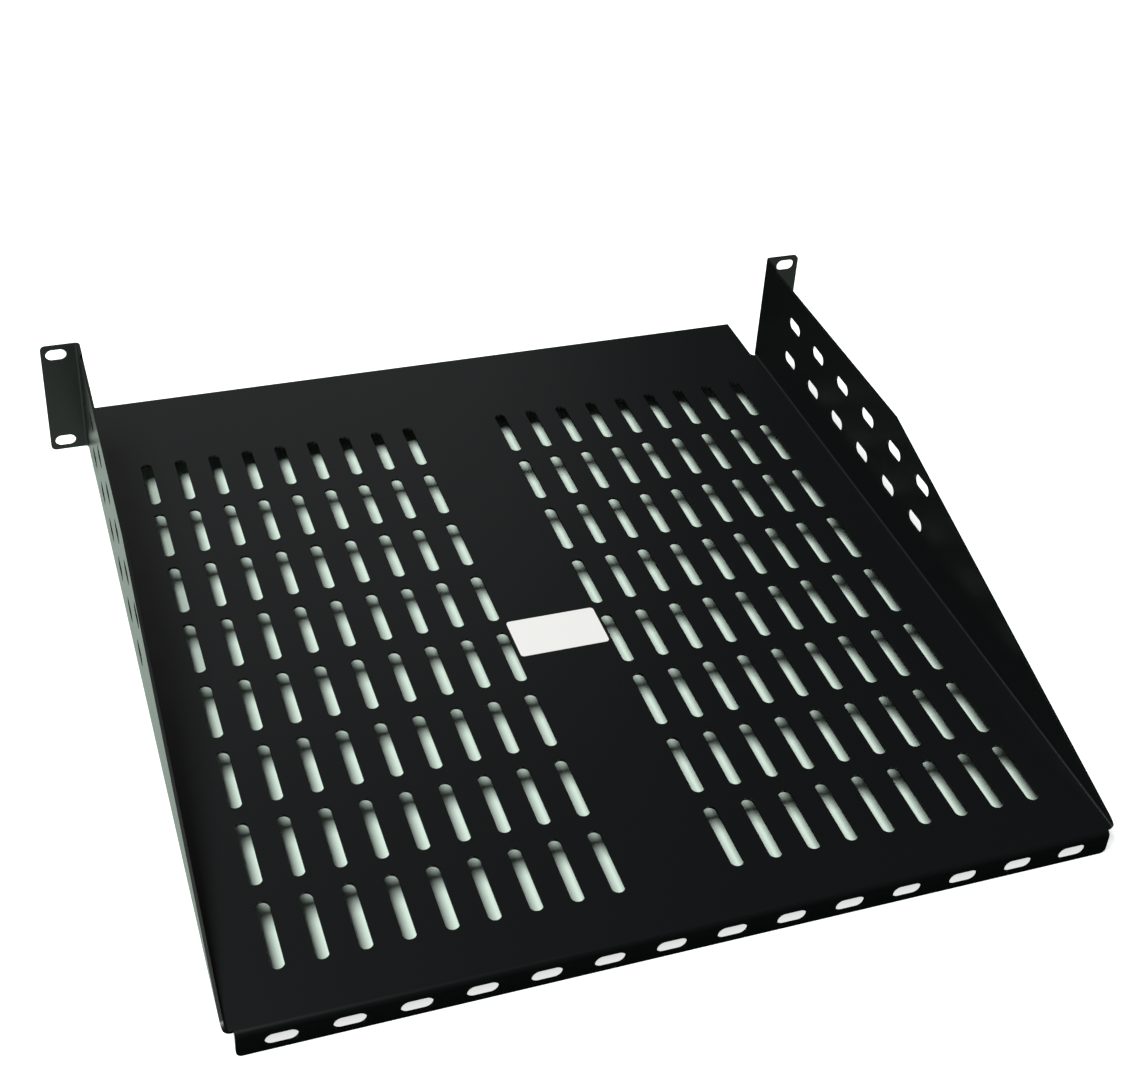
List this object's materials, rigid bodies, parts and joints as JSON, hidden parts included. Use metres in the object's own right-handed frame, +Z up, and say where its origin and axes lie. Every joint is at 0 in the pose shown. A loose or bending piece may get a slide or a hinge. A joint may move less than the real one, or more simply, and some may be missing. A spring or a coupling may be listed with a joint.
{
  "type": "cantilever rack shelf",
  "caption": "Black vented steel shelf for a 19-inch rack: slotted deck with folded front and back flanges, sloping side panels and front mounting ears.",
  "frame": {"origin": "middle of the four ear slots, on the rear face of the ears, which seats against the rack's front posts", "axes": "+X across the rack, +Y from the ears back into the rack along the depth of the shelf, +Z up"},
  "size_m": [0.4826, 0.49, 0.0855],
  "materials": {
    "shelf_coat": "black powder coat, satin, with a very fine texture",
    "label_paper": "matt white self-adhesive label"
  },
  "bodies": {
    "root": {"shelf": "shelf_coat", "blank_label": "label_paper"}
  },
  "joints": []
}
